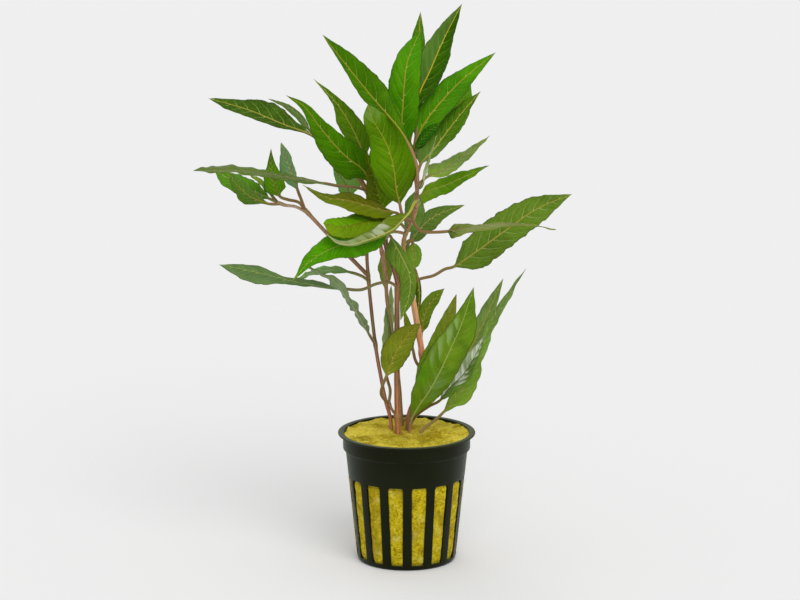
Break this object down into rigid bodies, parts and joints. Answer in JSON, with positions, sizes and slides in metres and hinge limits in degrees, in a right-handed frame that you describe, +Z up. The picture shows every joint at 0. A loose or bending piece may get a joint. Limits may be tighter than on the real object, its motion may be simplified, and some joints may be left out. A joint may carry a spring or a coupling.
{
  "type": "potted aquarium plant",
  "caption": "Potted willow-leaved aquarium plant: pinkish stems with long pointed green leaves, growing from rock wool in a small dark slotted plastic pot with a flat rim.",
  "frame": {"origin": "middle of the pot's flat underside", "axes": "+Z up along the pot's axis; -Y towards the plant's broad front side; +X to the right of someone who looks at that side"},
  "size_m": [0.144, 0.081, 0.218],
  "materials": {
    "pot_plastic": "satin, very dark green",
    "rockwool": "rough yellow mineral fibre",
    "stem": "smooth pinkish brown stem skin",
    "leaf_bright": "satin bright green leaf",
    "leaf_green": "satin mid green leaf",
    "leaf_dark": "satin dark green leaf",
    "leaf_olive": "satin olive leaf",
    "leaf_pale": "matt grey-green leaf",
    "leaf_silver": "matt silvery green leaf"
  },
  "bodies": {
    "root": {"pot": "pot_plastic", "rockwool": "rockwool", "left_stem": "stem", "main_stem": "stem", "back_stem": "stem", "right_stem": "stem", "left_branch": "stem", "left_twig": "stem", "side_shoot": "stem", "leaf_crown_tall": "leaf_bright", "leaf_crown_back": "leaf_dark", "leaf_crown_top": "leaf_dark", "leaf_crown_right": "leaf_bright", "leaf_crown_far": "leaf_bright", "leaf_small_lobe": "leaf_dark", "leaf_right_upper": "leaf_dark", "leaf_edge_on": "leaf_pale", "leaf_pale_right": "leaf_pale", "leaf_right_low": "leaf_bright", "leaf_left_top": "leaf_bright", "leaf_front_big": "leaf_bright", "leaf_olive_left": "leaf_olive", "leaf_spoon": "leaf_olive", "leaf_curled_pale": "leaf_pale", "leaf_edge_right": "leaf_pale", "leaf_bright_left": "leaf_bright", "leaf_hanging_front": "leaf_green", "leaf_narrow_upright": "leaf_dark", "leaf_left_long_low": "leaf_pale", "leaf_back_hanging": "leaf_dark", "leaf_low_back": "leaf_dark", "leaf_grey_back": "leaf_pale", "leaf_mid_left": "leaf_bright", "leaf_dark_left": "leaf_dark", "leaf_far_left": "leaf_dark", "leaf_thin_left": "leaf_pale", "leaf_long_left": "leaf_pale", "leaf_pale_upright": "leaf_pale", "leaf_left_lower": "leaf_bright", "leaf_left_back": "leaf_green", "leaf_left_narrow": "leaf_olive", "leaf_left_dark": "leaf_dark", "leaf_left_small": "leaf_pale", "leaf_bumpy": "leaf_pale", "leaf_right_back": "leaf_green", "leaf_behind_hanging": "leaf_dark", "leaf_right_hanging": "leaf_olive", "leaf_stem_back": "leaf_pale", "leaf_olive_right": "leaf_olive", "leaf_big_right": "leaf_dark", "leaf_low_dark": "leaf_olive", "leaf_front_olive": "leaf_olive", "leaf_low_grey": "leaf_pale", "leaf_low_big": "leaf_bright", "leaf_low_left": "leaf_olive", "leaf_low_right": "leaf_green", "leaf_low_silver": "leaf_silver"}
  },
  "joints": []
}
